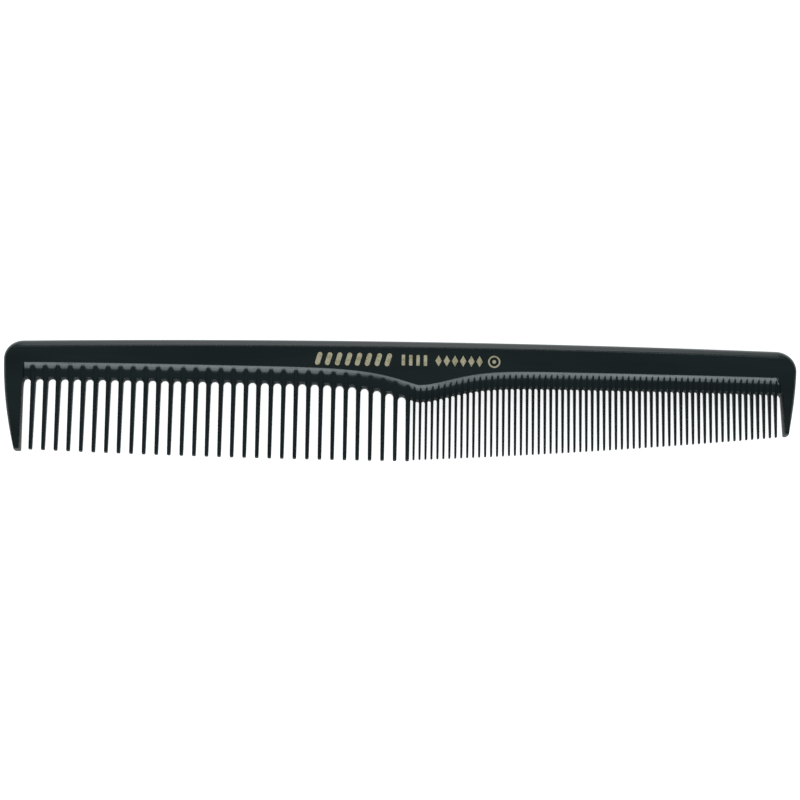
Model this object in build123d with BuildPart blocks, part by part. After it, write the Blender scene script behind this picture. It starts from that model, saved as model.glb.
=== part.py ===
"""Moulded styling comb: a thick back between two end guards, coarse teeth on one half, fine on the other.

The comb lies flat on its underside. +X runs along it towards the fine teeth, +Y points to its back,
+Z is up through its thickness. The origin is the middle of its footprint, on the surface it lies on.
One moulding is divided here where its section changes, and neighbouring pieces meet face to face.
Everything is in millimetres.
"""

import os
from math import exp

from build123d import *

os.makedirs("parts", exist_ok=True)

# ---- the whole comb
thickness = 4.4
mid_height = thickness / 2
coarse_end = -92.07         # X of the outermost point at the coarse end
fine_end = 92.17            # X of the outermost point at the fine end
crown_x = 16.8              # the back is highest here
crown_y = 14.1
back_at_coarse_end = 12.4
back_at_fine_end = 13.3
coarse_side_bulge = (-91.45, 0.0)   # a point on each outer side
fine_side_bulge = (91.5, 3.0)
coarse_corner_radius = 4.4
fine_corner_radius = 4.7
edge_radius = 0.9           # rounding of the back and of the guards' outer edges

# ---- end guards
coarse_guard_inner = -87.4
coarse_guard_tip = -13.27
coarse_guard_tip_width = 1.35
fine_guard_inner = 88.3
fine_guard_tip = -6.61
fine_guard_tip_width = 1.5
guard_tip_bevel = 0.3
coarse_inner_lean = 0.02    # the guards' inner edges lean out by this much at their tips
fine_inner_lean = 0.3
inner_edge_bevel = 0.25

# ---- step between the thick back and the thinner root web
step_height = 7.2           # Y of the step away from its dip
step_lean = -0.0015         # fall of the step towards the fine end, per millimetre
step_end_fall = 0.35        # extra fall of the step at the guards
dip_x = 4.0                 # where the step dips, at the change of teeth
dip_depth = 3.7
dip_coarse_side = (9.2, 1.27)   # reach and sharpness of the dip towards the coarse teeth
dip_fine_side = (11.1, 1.75)    # and towards the fine teeth
cove_length = 1.25          # sloped part of the step, in plan
cove_drop = 0.5             # its depth on each face
web_height = 3.6            # from the step down to the roots of the gaps
web_thickness = 2.6         # between the ribs
rib_thickness = thickness - 2 * cove_drop

# ---- teeth
coarse_count = 31
coarse_first = -85.06
coarse_pitch = 2.887
coarse_root_width = 1.09
coarse_tip_width = 0.89
coarse_tips = (-13.0, -14.08, -0.37)    # Y of the first tip, of the last, and bow between them
fine_count = 62
fine_first = 3.02
fine_pitch = 1.377
fine_root_width = 0.65
fine_tip_width = 0.53
fine_tips = (-13.85, -6.97, -0.55)
tip_thickness = 1.5
tip_bevel = 0.3             # of a tip's width or thickness, at each of its corners
coarse_edge_bevel = 0.22
fine_edge_bevel = 0.14

# ---- hot-stamped foil marks, sunk just under the face of the back
foil_thickness = 0.06
foil_depth = 0.1            # depth of the seat
foil_line = 9.25            # Y of the middle of the row of marks
slash_count, slash_pitch, slash_start = 8, 2.3, -19.3
slash_size = (1.15, 3.2)
slash_slant = 16            # degrees
bar_count, bar_pitch, bar_start = 4, 1.7, 0.3
bar_size = (0.8, 2.6)
bar_corner = 0.2
lozenge_count, lozenge_pitch, lozenge_start = 6, 1.9, 8.45
lozenge_size = (1.5, 2.7)
ring_x = 21.35
ring_radius = 1.45
ring_width = 0.4
ring_dot_radius = 0.45


def step_y(x):
    """Y of the step's upper edge at x: nearly level, falling at the guards, with one dip."""
    reach, sharpness = dip_coarse_side if x < dip_x else dip_fine_side
    dip = dip_depth * exp(-((abs(x - dip_x) / reach) ** sharpness))
    return step_height + step_lean * x - step_end_fall * (abs(x) / fine_end) ** 6 - dip


def shoulder_y(x):
    """Y where the sloped step meets the ribs, which is where the back ends and the web begins."""
    return step_y(x) - cove_length


def root_y(x):
    """Y of the root of a gap at x."""
    return step_y(x) - web_height


def between(x, x0, y0, x1, y1):
    """Y at x on the straight line from (x0, y0) to (x1, y1)."""
    return y0 + (y1 - y0) * (x - x0) / (x1 - x0)


def tip_y(x, first_x, last_x, tips):
    """Y of a tooth's tip: a shallow bow from the row's first tip to its last."""
    first_y, last_y, bow = tips
    part_way = (x - first_x) / (last_x - first_x)
    return between(x, first_x, first_y, last_x, last_y) + 4 * bow * part_way * (1 - part_way)


coarse_centres = [coarse_first + i * coarse_pitch for i in range(coarse_count)]
fine_centres = [fine_first + i * fine_pitch for i in range(fine_count)]
change_x = (coarse_centres[-1] + fine_centres[0]) / 2
coarse_gaps = [x - coarse_pitch / 2 for x in coarse_centres] + [change_x]
fine_gaps = [change_x] + [x + fine_pitch / 2 for x in fine_centres]
shoulder_stations = [coarse_guard_inner, -70, -45, -25, -15, -8, -3, 0.5, dip_x]
shoulder_stations += [7, 10, 14, 19, 27, 45, 70, fine_guard_inner]


def is_outer_side(face):
    """Whether a face is part of the comb's back, corners or outer sides, and not a tip or an inner side."""
    centre = face.center()
    upright = abs(face.normal_at().Z) < 0.5
    between_guards = coarse_guard_inner - 0.3 < centre.X < fine_guard_inner + 0.3 and centre.Y < crown_y - 3
    return upright and not between_guards and centre.Y > fine_guard_tip / 2


def is_leaning(face):
    """Whether a face is the slightly leaning inner side of a guard."""
    normal = face.normal_at()
    return 0 < abs(normal.Y) < 0.08 < abs(normal.X) and face.area > 20


def is_long(edge):
    """Whether an edge runs along a tooth or a guard rather than across it."""
    return edge.length > 4


# ---- foil marks: the same sketches sink the seats and make the foil
foil_face = Plane.XY.offset(thickness - foil_depth)

with BuildSketch(foil_face) as slash_sketch:
    with Locations(*[(slash_start + i * slash_pitch, foil_line) for i in range(slash_count)]):
        SlotOverall(slash_size[1], slash_size[0], rotation=90 - slash_slant)

with BuildSketch(foil_face) as bar_sketch:
    with Locations(*[(bar_start + i * bar_pitch, foil_line) for i in range(bar_count)]):
        RectangleRounded(*bar_size, radius=bar_corner)

with BuildSketch(foil_face) as lozenge_sketch:
    half_width, half_height = lozenge_size[0] / 2, lozenge_size[1] / 2
    corners = [(-half_width, 0), (0, -half_height), (half_width, 0), (0, half_height)]
    with Locations(*[(lozenge_start + i * lozenge_pitch, foil_line) for i in range(lozenge_count)]):
        Polygon(*corners, align=None)

with BuildSketch(foil_face) as ring_sketch:
    with Locations((ring_x, foil_line)):
        Circle(ring_radius)
        Circle(ring_radius - ring_width, mode=Mode.SUBTRACT)
        Circle(ring_dot_radius)

foil_sketches = {
    "foil_slashes": slash_sketch.sketch,
    "foil_bars": bar_sketch.sketch,
    "foil_lozenges": lozenge_sketch.sketch,
    "foil_ring": ring_sketch.sketch,
}


# ---- back and guards: one blank, rounded all round its outside, then parted at the guards' inner faces
with BuildPart() as blank:
    with BuildSketch() as outline:
        with BuildLine():
            back = ThreePointArc(
                (coarse_end, back_at_coarse_end), (crown_x, crown_y), (fine_end, back_at_fine_end)
            )
            fine_side = ThreePointArc(
                back @ 1, fine_side_bulge, (fine_guard_inner + fine_guard_tip_width, fine_guard_tip)
            )
            Polyline(
                fine_side @ 1,
                (fine_guard_inner + fine_inner_lean, fine_guard_tip),
                (fine_guard_inner, root_y(fine_guard_inner)),
                (fine_guard_inner, shoulder_y(fine_guard_inner)),
            )
            Spline(*[(x, shoulder_y(x)) for x in reversed(shoulder_stations)])
            Polyline(
                (coarse_guard_inner, shoulder_y(coarse_guard_inner)),
                (coarse_guard_inner, root_y(coarse_guard_inner)),
                (coarse_guard_inner - coarse_inner_lean, coarse_guard_tip),
                (coarse_guard_inner - coarse_guard_tip_width, coarse_guard_tip),
            )
            ThreePointArc(
                (coarse_guard_inner - coarse_guard_tip_width, coarse_guard_tip), coarse_side_bulge, back @ 0
            )
        make_face()
        chamfer(outline.vertices().sort_by(Axis.Y)[:4], guard_tip_bevel)
        fillet(outline.vertices().sort_by(Axis.X)[0], coarse_corner_radius)
        fillet(outline.vertices().sort_by(Axis.X)[-1], fine_corner_radius)
    extrude(amount=thickness)
    outer_faces = [face for face in blank.faces() if is_outer_side(face)]
    rims = [edge for face in outer_faces for edge in face.edges() if abs(edge.tangent_at(0.5).Z) < 0.5]
    fillet(rims, edge_radius)

with BuildPart() as back_spine:
    add(blank.part)
    split(bisect_by=Plane.YZ.offset(coarse_guard_inner), keep=Keep.TOP)
    split(bisect_by=Plane.YZ.offset(fine_guard_inner), keep=Keep.BOTTOM)
    for side in (Axis.Z, -Axis.Z):
        face = back_spine.faces().sort_by(side)[-1]
        chamfer(face.edges().sort_by(Axis.Y)[0], cove_length, cove_drop, reference=face)
    for sketch in foil_sketches.values():
        extrude(sketch, amount=foil_depth, mode=Mode.SUBTRACT)


# ---- end guards
with BuildPart() as coarse_end_guard:
    add(blank.part)
    split(bisect_by=Plane.YZ.offset(coarse_guard_inner), keep=Keep.BOTTOM)
    inner_side = coarse_end_guard.faces().filter_by(is_leaning).sort_by(Axis.X)[-1]
    chamfer(inner_side.edges().filter_by(is_long), inner_edge_bevel)

with BuildPart() as fine_end_guard:
    add(blank.part)
    split(bisect_by=Plane.YZ.offset(fine_guard_inner), keep=Keep.TOP)
    inner_side = fine_end_guard.faces().filter_by(is_leaning).sort_by(Axis.X)[0]
    chamfer(inner_side.edges().filter_by(is_long), inner_edge_bevel)


# ---- root webs: one strip as thick as the ribs, hollowed on both faces between one tooth and the next,
# ---- and parted where the coarse teeth give way to the fine
coarse_sides = [x + side * coarse_root_width / 2 for x in coarse_centres for side in (-1, 1)]
fine_sides = [x + side * fine_root_width / 2 for x in fine_centres for side in (-1, 1)]
groove_ends = [coarse_guard_inner, *coarse_sides, *fine_sides, fine_guard_inner]
root_line = [coarse_guard_inner, *coarse_gaps, *fine_gaps[1:], fine_guard_inner]

with BuildPart() as web_strip:
    with BuildSketch(Plane.XY.offset(cove_drop)):
        with BuildLine():
            shoulder_line = Spline(*[(x, shoulder_y(x)) for x in shoulder_stations])
            Polyline(shoulder_line @ 1, *[(x, root_y(x)) for x in reversed(root_line)], shoulder_line @ 0)
        make_face()
    extrude(amount=rib_thickness)
    for way in (1, -1):
        with BuildSketch(Plane.XY.offset(mid_height + way * web_thickness / 2)):
            for left, right in zip(groove_ends[::2], groove_ends[1::2]):
                with Locations(((left + right) / 2, root_y((left + right) / 2))):
                    Rectangle(right - left, 4 * web_height)
        extrude(amount=way * thickness, mode=Mode.SUBTRACT)

with BuildPart() as coarse_root_web:
    add(web_strip.part)
    split(bisect_by=Plane.YZ.offset(change_x), keep=Keep.BOTTOM)

with BuildPart() as fine_root_web:
    add(web_strip.part)
    split(bisect_by=Plane.YZ.offset(change_x), keep=Keep.TOP)


# ---- teeth
def make_tooth(x, left_gap, right_gap, tip, widths, edge_bevel):
    """One tooth, tapering in width and thickness to a rounded tip, its top flat against the web."""
    root_width, tip_width = widths
    left_x, right_x = x - root_width / 2, x + root_width / 2
    left_y, right_y = [
        between(side, left_gap, root_y(left_gap), right_gap, root_y(right_gap)) for side in (left_x, right_x)
    ]
    top = max(left_y, right_y)
    with BuildPart() as tooth:
        with BuildSketch() as plan:
            with BuildLine():
                Polyline(
                    (left_x, left_y),
                    (x - tip_width / 2, tip),
                    (x + tip_width / 2, tip),
                    (right_x, right_y),
                    close=True,
                )
            make_face()
            chamfer(plan.vertices().group_by(Axis.Y)[0], tip_bevel * tip_width)
        extrude(amount=thickness)
        with BuildSketch(Plane.YZ.offset(x - root_width)) as profile:
            with BuildLine():
                Polyline(
                    (top, cove_drop),
                    (tip, mid_height - tip_thickness / 2),
                    (tip, mid_height + tip_thickness / 2),
                    (top, thickness - cove_drop),
                    close=True,
                )
            make_face()
            chamfer(profile.vertices().sort_by(Axis.Y)[:2], tip_bevel * tip_thickness)
        extrude(amount=2 * root_width, mode=Mode.INTERSECT)
        chamfer(tooth.edges().filter_by(is_long), edge_bevel)
    return tooth.part


for index, tooth_x in enumerate(coarse_centres):
    coarse_tooth = make_tooth(
        tooth_x,
        coarse_gaps[index],
        coarse_gaps[index + 1],
        tip_y(tooth_x, coarse_centres[0], coarse_centres[-1], coarse_tips),
        (coarse_root_width, coarse_tip_width),
        coarse_edge_bevel,
    )
    coarse_tooth.label = f"coarse_tooth_{index + 1:02d}"
    export_step(coarse_tooth, f"parts/{coarse_tooth.label}.step")

with BuildPart() as fine_teeth:
    add(
        [
            make_tooth(
                tooth_x,
                fine_gaps[index],
                fine_gaps[index + 1],
                tip_y(tooth_x, fine_centres[0], fine_centres[-1], fine_tips),
                (fine_root_width, fine_tip_width),
                fine_edge_bevel,
            )
            for index, tooth_x in enumerate(fine_centres)
        ]
    )


# ---- foil in its seats
for name, foil_sketch in foil_sketches.items():
    with BuildPart() as foil:
        extrude(foil_sketch, amount=foil_thickness)
    foil.part.label = name
    export_step(foil.part, f"parts/{name}.step")


# ---- names and files
back_spine.part.label = "back_spine"
coarse_end_guard.part.label = "coarse_end_guard"
fine_end_guard.part.label = "fine_end_guard"
coarse_root_web.part.label = "coarse_root_web"
fine_root_web.part.label = "fine_root_web"
fine_teeth.part.label = "fine_teeth"

export_step(back_spine.part, "parts/back_spine.step")
export_step(coarse_end_guard.part, "parts/coarse_end_guard.step")
export_step(fine_end_guard.part, "parts/fine_end_guard.step")
export_step(coarse_root_web.part, "parts/coarse_root_web.step")
export_step(fine_root_web.part, "parts/fine_root_web.step")
export_step(fine_teeth.part, "parts/fine_teeth.step")
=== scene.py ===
"""Looks of a moulded styling comb: glossy black acetal, parted as in the frame, with gold foil marks."""

import logging
from dataclasses import dataclass, field
from enum import Enum
from typing import ClassVar

import bpy
import numpy as np
from mathutils import Matrix, Vector
from mathutils.geometry import delaunay_2d_cdt


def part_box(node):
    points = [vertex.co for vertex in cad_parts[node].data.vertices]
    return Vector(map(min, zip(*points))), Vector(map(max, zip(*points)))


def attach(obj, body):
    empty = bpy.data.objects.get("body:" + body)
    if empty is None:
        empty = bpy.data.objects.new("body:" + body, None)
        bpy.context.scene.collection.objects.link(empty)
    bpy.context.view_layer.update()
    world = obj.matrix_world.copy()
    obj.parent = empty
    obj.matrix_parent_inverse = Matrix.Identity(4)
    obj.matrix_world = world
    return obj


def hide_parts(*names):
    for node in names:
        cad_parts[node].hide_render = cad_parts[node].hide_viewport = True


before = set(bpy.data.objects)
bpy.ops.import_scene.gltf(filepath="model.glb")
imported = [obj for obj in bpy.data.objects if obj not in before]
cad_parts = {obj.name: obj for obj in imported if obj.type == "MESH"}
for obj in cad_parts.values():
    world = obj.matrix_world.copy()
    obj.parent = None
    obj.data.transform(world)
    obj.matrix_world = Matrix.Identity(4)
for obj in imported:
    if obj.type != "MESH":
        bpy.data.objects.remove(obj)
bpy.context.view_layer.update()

MM = 0.001                  # metres in a millimetre
WELD = 1e-4                 # points nearer than this, in millimetres, are one point
BODY = "root"
INSIDE = 1                  # the triangulation keeps what lies inside the outline
SAME = 1e-6                 # points nearer than this are one point to the triangulation

Pair = tuple[float, float]
Triple = tuple[float, float, float]
Colour = tuple[float, float, float, float]

log = logging.getLogger("comb")


class Slot(Enum):
    """The record's material slots."""

    ACETAL = "acetal"
    FOIL = "foil"


# ------------------------------------------------------------------------------------------------ helpers
def linear(hex_colour: str) -> Colour:
    """Turns an sRGB hex colour to linear.

    Args:
        hex_colour: The colour as "#rrggbb".

    Returns:
        Red, green, blue and an alpha of 1.
    """
    values = np.array([int(hex_colour[i:i + 2], 16) for i in (1, 3, 5)]) / 255
    low, high = values / 12.92, ((values + 0.055) / 1.055) ** 2.4
    return (*np.where(values <= 0.04045, low, high).tolist(), 1.0)


def node_box(name: str) -> tuple[np.ndarray, np.ndarray]:
    """Lowest and highest corners of a CAD node, in millimetres."""
    low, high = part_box(name)
    return np.array(low) / MM, np.array(high) / MM


def quarter_round(depth: np.ndarray, width: float | np.ndarray) -> np.ndarray:
    """Height, 0 to 1, of an elliptical edge at a depth into the material, given its width."""
    inside = np.clip(1 - depth / width, 0, 1)
    return np.sqrt(1 - inside**2)


def soft_max(a: np.ndarray, b: np.ndarray, blend: float | np.ndarray) -> np.ndarray:
    """The larger of two heights, with a small fillet of about the blend's size where they cross."""
    near = np.clip(blend - np.abs(a - b), 0, None) / blend
    return np.maximum(a, b) + near**2 * blend / 4


def smooth(share: np.ndarray) -> np.ndarray:
    """A share, 0 to 1, eased at both ends."""
    return share * share * (3 - 2 * share)


def circle_through(a: Pair, b: Pair, c: Pair) -> tuple[np.ndarray, float]:
    """Finds the circle through three points.

    Args:
        a: A point on the circle.
        b: Another.
        c: A third.

    Returns:
        The circle's centre and radius.
    """
    first, *others = (np.array(point, float) for point in (a, b, c))
    rows = [2 * (other - first) for other in others]
    centre = np.linalg.solve(rows, [other @ other - first @ first for other in others])
    return centre, float(np.linalg.norm(first - centre))


# ------------------------------------------------------------------------------------------------ skins
@dataclass
class Solid:
    """A closed piece (mm from the parting plane), with smoothly shaded faces and flatly shaded ones."""

    name: str
    nodes: tuple[str, ...]
    points: np.ndarray
    soft: list[list[int]]
    hard: list[list[int]]


@dataclass
class Skin:
    """One piece of the moulding: the upper surface as a height above the parting plane.

    close() mirrors it below the parting plane and walls it in where the CAD parts the moulding.
    """

    name: str
    nodes: tuple[str, ...]
    points: list[np.ndarray] = field(default_factory=list)
    faces: list[list[int]] = field(default_factory=list)
    upper_only: list[list[int]] = field(default_factory=list)
    lower_only: list[list[int]] = field(default_factory=list)
    seats: list[list[int]] = field(default_factory=list)

    def _add_points(self, points: np.ndarray) -> int:
        """Stores points.

        Args:
            points: Pairs in an array of any number of dimensions, the last of them X, Y and height.

        Returns:
            The number of the first.
        """
        first = sum(len(block) for block in self.points)
        self.points.append(points.reshape(-1, 3))
        return first

    def add_grid(self, grid: np.ndarray) -> None:
        """Adds a grid of points as quads.

        Args:
            grid: Rows by columns by X, Y and height.
        """
        first = self._add_points(grid)
        rows, columns = grid.shape[:2]
        numbers = np.arange(rows * columns).reshape(rows, columns) + first
        quads = np.stack([numbers[:-1, :-1], numbers[1:, :-1], numbers[1:, 1:], numbers[:-1, 1:]], axis=-1)
        self.faces += self._face_up(quads.reshape(-1, 4).tolist(), grid.reshape(-1, 3), first)

    def add_flat(self, outline: np.ndarray, holes: tuple[np.ndarray, ...] = ()) -> None:
        """Fills a flat outline, with holes in the upper face only.

        Args:
            outline: Pairs round the flat area.
            holes: Loops that the upper face leaves open.
        """
        first = self._add_points(np.vstack([outline, *holes]))
        if holes:
            self.upper_only += self._fill([outline, *holes], first)
            self.lower_only += self._fill([outline], first)
        else:
            self.faces += self._fill([outline], first)

    def _fill(self, loops: list[np.ndarray], first: int) -> list[list[int]]:
        """Fills the area between an outer loop and the convex loops of its holes.

        Args:
            loops: The outer loop, then the holes.
            first: Number of the outer loop's first point.

        Returns:
            Triangles facing up.
        """
        points = np.vstack(loops)
        edges, start = [], 0
        for loop in loops:
            edges += [(start + i, start + (i + 1) % len(loop)) for i in range(len(loop))]
            start += len(loop)
        filled = delaunay_2d_cdt([Vector(p[:2]) for p in points], edges, [], INSIDE, SAME)
        came_from = [sources[0] for sources in filled[3]]
        loop_of = np.repeat(np.arange(len(loops)), [len(loop) for loop in loops])
        faces = [[came_from[i] for i in face] for face in filled[2]]
        in_hole = [len(set(loop_of[face])) == 1 and loop_of[face[0]] > 0 for face in faces]
        faces = [[first + i for i in face] for face, drop in zip(faces, in_hole) if not drop]
        return self._face_up(faces, points, first)

    @staticmethod
    def _face_up(faces: list[list[int]], points: np.ndarray, first: int) -> list[list[int]]:
        """Turns a patch over if it faces down as a whole.

        Args:
            faces: The faces of the patch.
            points: Its points.
            first: Number of its first point.

        Returns:
            The faces, facing up.
        """
        area = 0.0
        for face in faces:
            x, y = points[np.array(face) - first, :2].T
            area += float(np.dot(x, np.roll(y, -1)) - np.dot(y, np.roll(x, -1)))
        return faces if area >= 0 else [face[::-1] for face in faces]

    def add_seat(self, loops: list[np.ndarray]) -> None:
        """Sinks a seat in the upper face.

        Args:
            loops: Loops of equal length with walls and floors between them; the last is filled with a floor.
        """
        count = len(loops[0])
        first = self._add_points(np.vstack(loops))
        for number in range(len(loops) - 1):
            outer = first + number * count
            for i in range(count):
                j = (i + 1) % count
                self.seats.append([outer + i, outer + j, outer + count + j, outer + count + i])
        last = first + (len(loops) - 1) * count
        self.seats.append([last + i for i in range(count)])

    def close(self) -> Solid:
        """Welds the surface, mirrors it and walls in its open sides.

        Returns:
            The closed piece, in millimetres from the parting plane.
        """
        points = np.vstack(self.points)
        _, kept, weld = np.unique(np.round(points / WELD).astype(np.int64), axis=0, return_index=True,
                                  return_inverse=True)
        points, weld = points[kept], weld.reshape(-1)
        on_plane = points[:, 2] < WELD
        below = np.arange(len(points)) + len(points)
        below[on_plane] = np.flatnonzero(on_plane)
        shared, upper, lower, hard = (
            self._welded(faces, weld) for faces in (self.faces, self.upper_only, self.lower_only, self.seats))
        soft = shared + upper + [[int(below[i]) for i in reversed(face)] for face in shared + lower]
        sides = {(a, b) for face in shared + lower for a, b in zip(face, face[1:] + face[:1])}
        for a, b in sorted(sides):
            if (b, a) not in sides and not (on_plane[a] and on_plane[b]):
                hard.append(list(dict.fromkeys([b, a, int(below[a]), int(below[b])])))
        points = np.vstack([points, points * (1, 1, -1)])
        used = np.unique([i for face in soft + hard for i in face])
        number = np.full(len(points), -1)
        number[used] = np.arange(len(used))
        renumbered = [[[int(number[i]) for i in face] for face in faces] for faces in (soft, hard)]
        return Solid(self.name, self.nodes, points[used], *renumbered)

    @staticmethod
    def _welded(faces: list[list[int]], weld: np.ndarray) -> list[list[int]]:
        """Renumbers faces for the welded points.

        Args:
            faces: The faces.
            weld: The new number of each point.

        Returns:
            The faces that still have three corners or more.
        """
        rings = (list(dict.fromkeys(int(weld[i]) for i in face)) for face in faces)
        return [ring for ring in rings if len(ring) > 2]


# ------------------------------------------------------------------------------------------------ shape
@dataclass
class ToothRow:
    """A row of equal teeth (mm)."""

    name: str
    centres: np.ndarray
    tips: np.ndarray
    root_width: float
    tip_width: float
    gap_arc: float              # height of the round root of a gap, as a share of its half width
    plate_round: float          # width of the rounding of the web's edge in a gap
    squareness: float           # of a tooth's section: 2 is an ellipse
    rib_spread: float           # what a rib's half width gains from the root up to the step
    web_columns: tuple[float, ...]      # across half a tooth's share of the web
    tooth_columns: tuple[float, ...]    # across half a tooth
    tip_length: float           # length of the rounded tip

    def section(self, across: np.ndarray) -> np.ndarray:
        """Height, 0 to 1, of a tooth's section at a share of its half width."""
        return (1 - np.clip(np.abs(across), 0, 1) ** self.squareness) ** (1 / self.squareness)


@dataclass
class CombShape:
    """The comb's measures (mm), read from the CAD boxes where they fix them, and its heights by formula."""

    step_height: float = 7.2            # Y of the step away from its dip
    step_lean: float = -0.0015          # fall of the step towards the fine end, per millimetre
    step_end_fall: float = 0.35         # extra fall of the step at the guards
    step_end_power: float = 6           # the larger, the nearer the guards it falls
    dip_x: float = 4.0                  # where the step dips, at the change of teeth
    dip_depth: float = 3.7
    dip_coarse_side: Pair = (9.2, 1.27)        # reach and sharpness of the dip towards the coarse teeth
    dip_fine_side: Pair = (11.1, 1.75)         # and towards the fine teeth
    web_height: float = 3.6             # from the step down to the roots of the gaps
    cove_length: float = 2.4
    cove_slope: float = 0.5             # at the step; the cove flattens towards the web
    cove_bend: float = 2.2              # the larger, the later it flattens
    dip_bend: float = -1.1              # what cove_bend gains beside the dip
    dip_bend_x: float = -5.0            # where it gains most
    cove_lip: float = 0.06              # rounding of the step's edge
    lip_end: float = 0.2                # how far above the step the back is truly flat
    web_thinning: float = 0.1           # fall of each face per millimetre below the cove
    # the recess of cove and web: how far from the middle it ends, length of its end wall, its corner's radius
    coarse_recess: Triple = (87.03, 0.32, 0.05)
    fine_recess: Triple = (87.68, 0.35, 1.5)
    tooth_half_root: float = 1.7
    tooth_half_tip: float = 0.72
    fillet: float = 0.3                 # where a rib meets the web
    crown_x: float = 16.8               # where the back is highest
    coarse_corner: Pair = (-92.07, 12.4)       # where the outer sides would meet the back without a round
    fine_corner: Pair = (92.17, 13.3)
    bevel_share: float = 0.74           # of the back's half thickness, in the middle of the comb
    bevel_fade: float = 0.09            # what it loses towards the ends
    bevel_middle: float = -12.0
    bevel_level: float = 35.0           # half the length over which it keeps its full share
    bevel_reach: float = 65.0           # length over which it fades
    fine_count: int = 62                # the fine teeth share one CAD node
    fine_root_width: float = 0.65
    fine_tips: Triple = (-13.85, -6.97, -0.55)      # first, last, bow between them
    middle: float = field(init=False)           # height of the parting plane
    half: float = field(init=False)             # half the thickness of the back
    coarse_inner: float = field(init=False)     # X of the guards' inner edges
    fine_inner: float = field(init=False)
    crown: float = field(init=False)            # Y of the back where it is highest
    coarse_low: np.ndarray = field(init=False)  # lowest corners of the guards' boxes
    fine_low: np.ndarray = field(init=False)
    rows: list[ToothRow] = field(init=False)
    coarse_gaps: np.ndarray = field(init=False)     # X of the middles of the gaps
    fine_gaps: np.ndarray = field(init=False)

    def __post_init__(self) -> None:
        """Reads the measures that the CAD boxes hold."""
        low, high = node_box("back_spine")
        self.middle = (low[2] + high[2]) / 2
        self.half = (high[2] - low[2]) / 2
        self.coarse_inner, self.fine_inner = low[0], high[0]
        self.crown = high[1]
        self.coarse_low, _ = node_box("coarse_end_guard")
        self.fine_low, _ = node_box("fine_end_guard")
        self.rows = [self._coarse_row(), self._fine_row()]
        coarse, fine = (row.centres for row in self.rows)
        change = (coarse[-1] + fine[0]) / 2
        coarse_pitch, fine_pitch = np.diff(coarse[:2])[0], np.diff(fine[:2])[0]
        self.coarse_gaps = np.append(coarse - coarse_pitch / 2, change)
        self.fine_gaps = np.append(change, fine + fine_pitch / 2)

    def _coarse_row(self) -> ToothRow:
        """Reads the coarse teeth, one CAD node each.

        Returns:
            The row.
        """
        names = sorted(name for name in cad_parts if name.startswith("coarse_tooth"))
        boxes = [node_box(name) for name in names]
        return ToothRow(
            name="coarse", centres=np.array([(low[0] + high[0]) / 2 for low, high in boxes]),
            tips=np.array([low[1] for low, _ in boxes]), root_width=1.09, tip_width=0.89,
            gap_arc=1.15, plate_round=0.22, squareness=3.5, rib_spread=0.25,
            web_columns=(0, 0.09, 0.17, 0.23, 0.28, 0.34, 0.5, 0.75, 1.0),
            tooth_columns=(0, 0.24, 0.46, 0.64, 0.78, 0.88, 0.95, 0.985, 1.0), tip_length=0.5,
        )

    def _fine_row(self) -> ToothRow:
        """Spaces the fine teeth evenly in the box of their one CAD node.

        Returns:
            The row.
        """
        low, high = node_box("fine_teeth")
        half_width = self.fine_root_width / 2
        part_way = np.linspace(0, 1, self.fine_count)
        first_tip, last_tip, bow = self.fine_tips
        return ToothRow(
            name="fine", centres=np.linspace(low[0] + half_width, high[0] - half_width, self.fine_count),
            tips=first_tip + (last_tip - first_tip) * part_way + 4 * bow * part_way * (1 - part_way),
            root_width=self.fine_root_width, tip_width=0.53,
            gap_arc=1.15, plate_round=0.15, squareness=2.3, rib_spread=0.06,
            web_columns=(0, 0.14, 0.27, 0.37, 0.46, 0.6, 1.0),
            tooth_columns=(0, 0.3, 0.56, 0.76, 0.9, 0.975, 1.0), tip_length=0.35,
        )

    def step_y(self, x: np.ndarray) -> np.ndarray:
        """Y of the step's upper edge: nearly level, with one dip.

        Args:
            x: X of the points.

        Returns:
            Y at each.
        """
        x = np.asarray(x, float)
        coarse_side = x < self.dip_x
        reach = np.where(coarse_side, self.dip_coarse_side[0], self.dip_fine_side[0])
        sharpness = np.where(coarse_side, self.dip_coarse_side[1], self.dip_fine_side[1])
        dip = self.dip_depth * np.exp(-((np.abs(x - self.dip_x) / reach) ** sharpness))
        fall = self.step_end_fall * (np.abs(x) / self.fine_corner[0]) ** self.step_end_power
        return self.step_height + self.step_lean * x - fall - dip

    def root_y(self, x: np.ndarray) -> np.ndarray:
        """Y of the roots of the gaps."""
        return self.step_y(x) - self.web_height

    def web_half(self, x: np.ndarray, y: np.ndarray) -> np.ndarray:
        """Half thickness of the plate from the back's flat face down the cove and across the web.

        Args:
            x: X of the points.
            y: Y of the points.

        Returns:
            The half thicknesses.
        """
        below = self.step_y(x) - y
        lip, lip_reach = self.cove_lip, 20 * self.cove_lip
        rounded = lip * np.log1p(np.exp(np.minimum(below, lip_reach) / lip))
        down = np.where(below > lip_reach, below, rounded)
        down = np.where(below < -self.lip_end, 0, down)
        part_way = np.minimum(down / self.cove_length, 1)
        from_dip = (x - self.dip_bend_x) / self.dip_coarse_side[0]
        bend = self.cove_bend + self.dip_bend * np.exp(-(from_dip**2))
        fall = self.cove_slope * self.cove_length * (part_way - part_way ** (bend + 1) / (bend + 1))
        height = self.half - fall - self.web_thinning * np.clip(below - self.cove_length, 0, None)
        for side, (end, wall, corner) in ((-1, self.coarse_recess), (1, self.fine_recess)):
            inset = corner * (1 - quarter_round(np.clip(below, 0, None), corner))
            rise = smooth(np.clip((side * x - end + inset) / wall, 0, 1))
            height = height + (self.half - height) * rise
        return height

    def back_circle(self) -> tuple[np.ndarray, float]:
        """Centre and radius of the circle of the comb's back."""
        return circle_through(self.coarse_corner, (self.crown_x, self.crown), self.fine_corner)

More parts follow.
